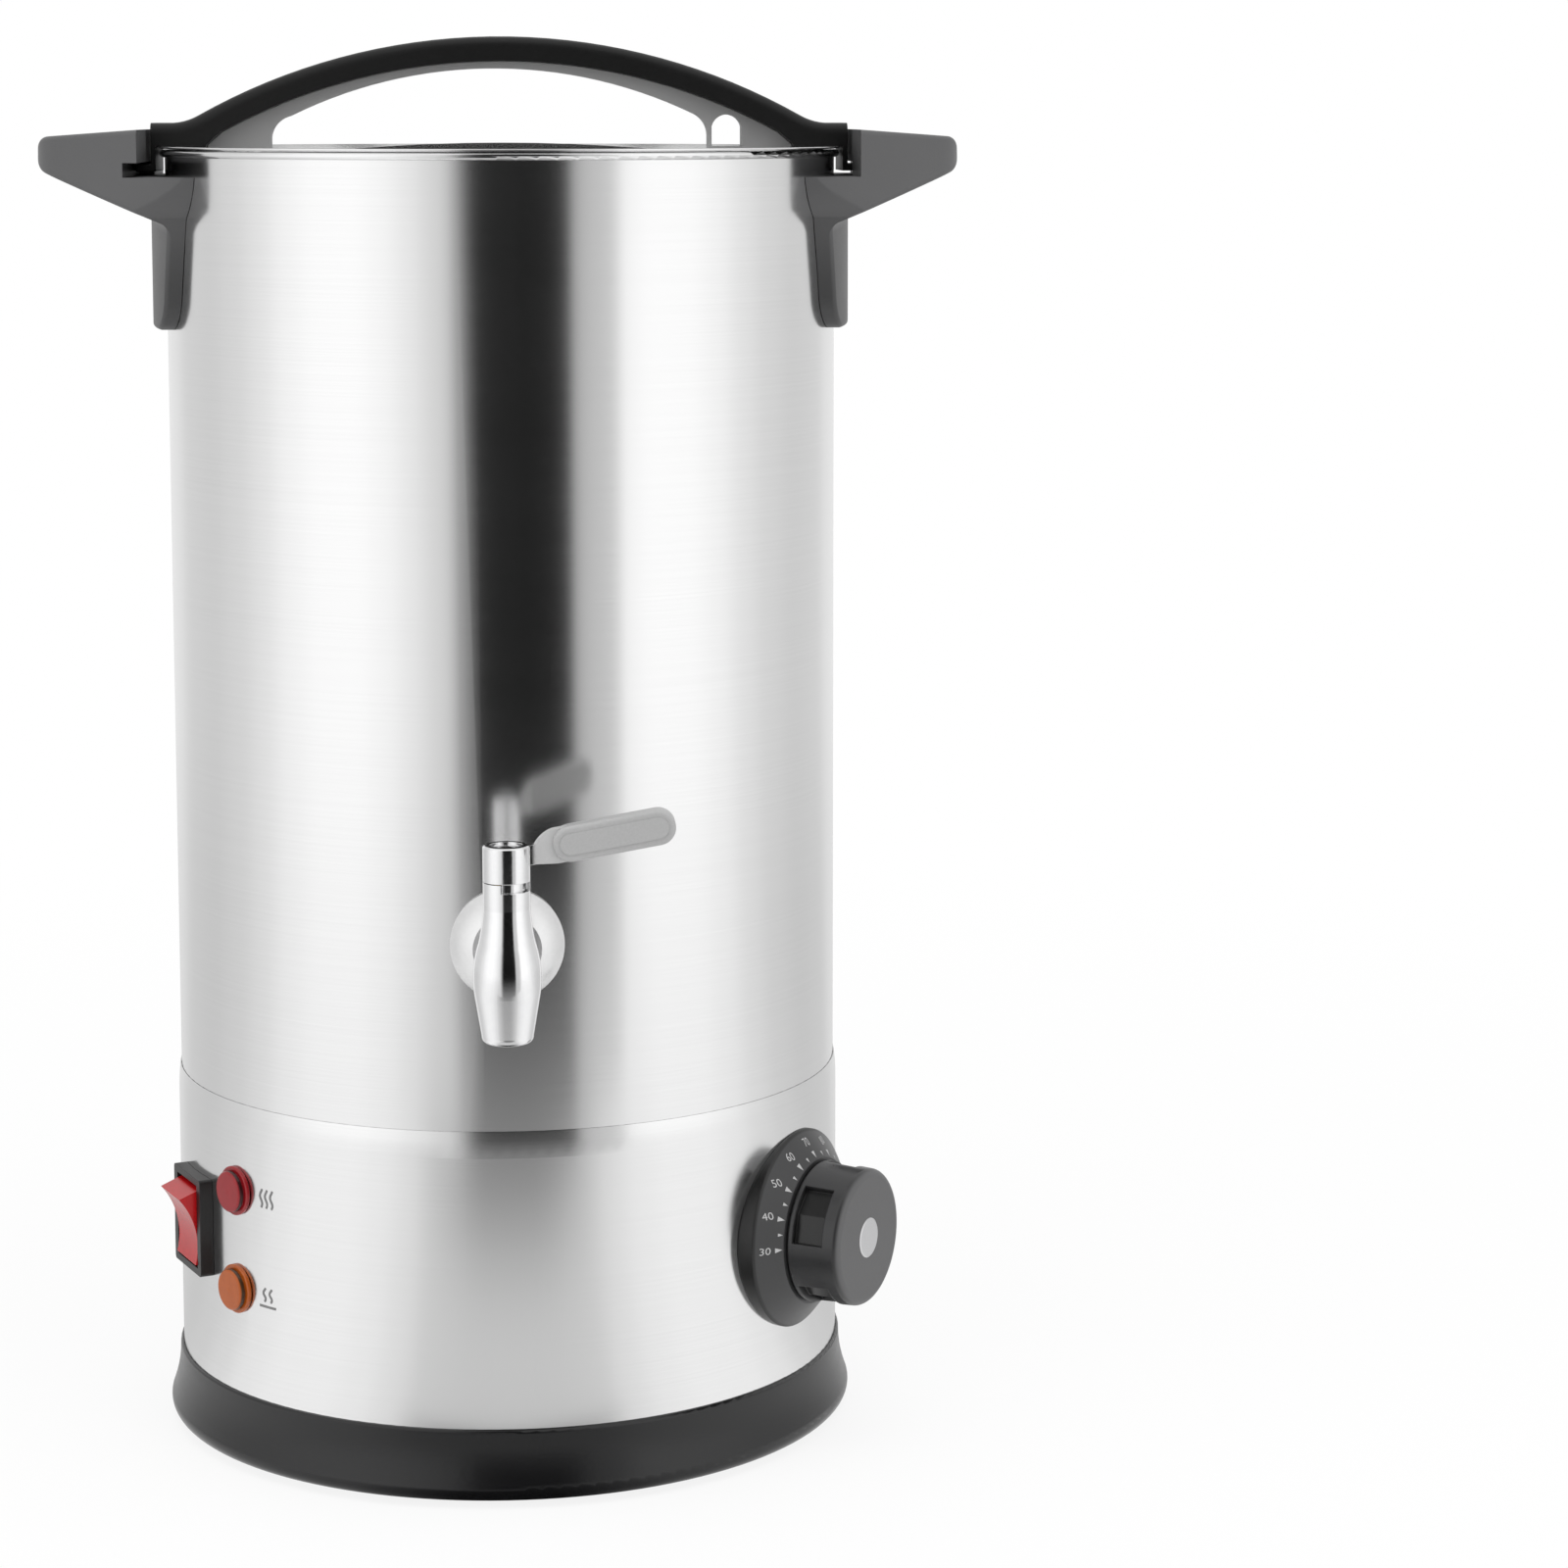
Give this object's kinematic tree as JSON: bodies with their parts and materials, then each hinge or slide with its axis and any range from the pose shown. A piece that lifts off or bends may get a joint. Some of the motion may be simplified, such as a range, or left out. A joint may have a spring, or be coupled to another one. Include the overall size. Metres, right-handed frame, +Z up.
{
  "type": "electric wax melter",
  "caption": "Electric wax melting pot: steel tank on a control skirt, twist-lock lid with arch handle, side handles, plug tap, rocker switch, lamps and thermostat knob.",
  "frame": {"origin": "on the table under the tank's axis", "axes": "+Z up along the tank's axis, -Y towards the tap (front), +X towards the thermostat knob's side"},
  "size_m": [0.2846, 0.2649, 0.4402],
  "materials": {
    "pot_steel": "brushed",
    "skirt_steel": "brushed",
    "lid_steel": "polished",
    "plain_steel": "mill finish",
    "element_steel": "oxidised",
    "screw_steel": "bright",
    "cast_aluminium": "cast",
    "tap_chrome": "polished",
    "plug_brass": "machined",
    "copper_brass": "drawn",
    "dark_plastic": "satin",
    "grey_plastic": "satin",
    "black_plastic": "satin",
    "light_grey_plastic": "satin",
    "sleeve_plastic": "satin",
    "switch_black": "satin",
    "dial_plastic": "satin",
    "knob_plastic": "satin",
    "knob_silver": "spun",
    "rocker_red": "translucent",
    "lamp_red": "translucent",
    "lamp_orange": "translucent",
    "black_rubber": "matt",
    "pale_silicone": "matt",
    "pale_ceramic": "matt"
  },
  "bodies": {
    "melter": {"tank": "pot_steel", "tank_floor": "pot_steel", "control_skirt": "skirt_steel", "base_ring": "dark_plastic", "bottom_cover": "plain_steel", "feet": "black_rubber", "cover_screws": "screw_steel", "heat_spreader": "cast_aluminium", "heating_element": "element_steel", "element_clamp": "plain_steel", "heater_studs": "screw_steel", "heater_nuts": "screw_steel", "thermal_cutout": "pale_ceramic", "thermostat_bulb": "copper_brass", "bulb_clip": "plain_steel", "side_handle_right": "grey_plastic", "side_handle_left": "grey_plastic", "handle_screws": "screw_steel", "tap_body": "tap_chrome", "tap_flange": "tap_chrome", "tap_outer_washer": "pale_silicone", "tap_inner_washer": "pale_silicone", "tap_nut": "tap_chrome", "switch_housing": "switch_black", "switch_terminals": "plug_brass", "heat_lamp_lens": "lamp_red", "warm_lamp_lens": "lamp_orange", "lamp_barrels": "switch_black", "lamp_push_nuts": "screw_steel", "thermostat_body": "plain_steel", "dial_plate": "dial_plastic", "thermostat_screws": "screw_steel", "inlet_housing": "switch_black", "inlet_pins": "plug_brass", "inlet_screws": "screw_steel"},
    "lid": {"lid_disc": "lid_steel", "lid_gasket": "pale_silicone", "lid_handle": "black_plastic", "lid_handle_web": "light_grey_plastic", "lid_screws": "screw_steel"},
    "tap_handle": {"tap_lever": "tap_chrome", "tap_grip": "sleeve_plastic", "tap_plug": "plug_brass", "tap_screw": "tap_chrome"},
    "switch_rocker": {"rocker": "rocker_red"},
    "thermostat_knob": {"knob": "knob_plastic", "knob_disc": "knob_silver", "thermostat_shaft": "screw_steel"}
  },
  "joints": [
    {"name": "lid_twist", "type": "hinge", "parent": "melter", "child": "lid", "pos_m": [0, 0, 0.4], "axis": [0, 0, 1], "range_deg": [0, 36]},
    {"name": "tap_lever_turn", "type": "hinge", "parent": "melter", "child": "tap_handle", "pos_m": [0, -0.145, 0.2], "axis": [0, 0, -1], "range_deg": [0, 90]},
    {"name": "switch_rock", "type": "hinge", "parent": "melter", "child": "switch_rocker", "pos_m": [-0.09793, -0.04056, 0.072], "axis": [-0.3827, 0.9239, 0], "range_deg": [0, 26]},
    {"name": "knob_turn", "type": "hinge", "parent": "melter", "child": "thermostat_knob", "pos_m": [0.10177, -0.06359, 0.07], "axis": [-0.848, 0.5299, 0], "range_deg": [0, 270]}
  ]
}
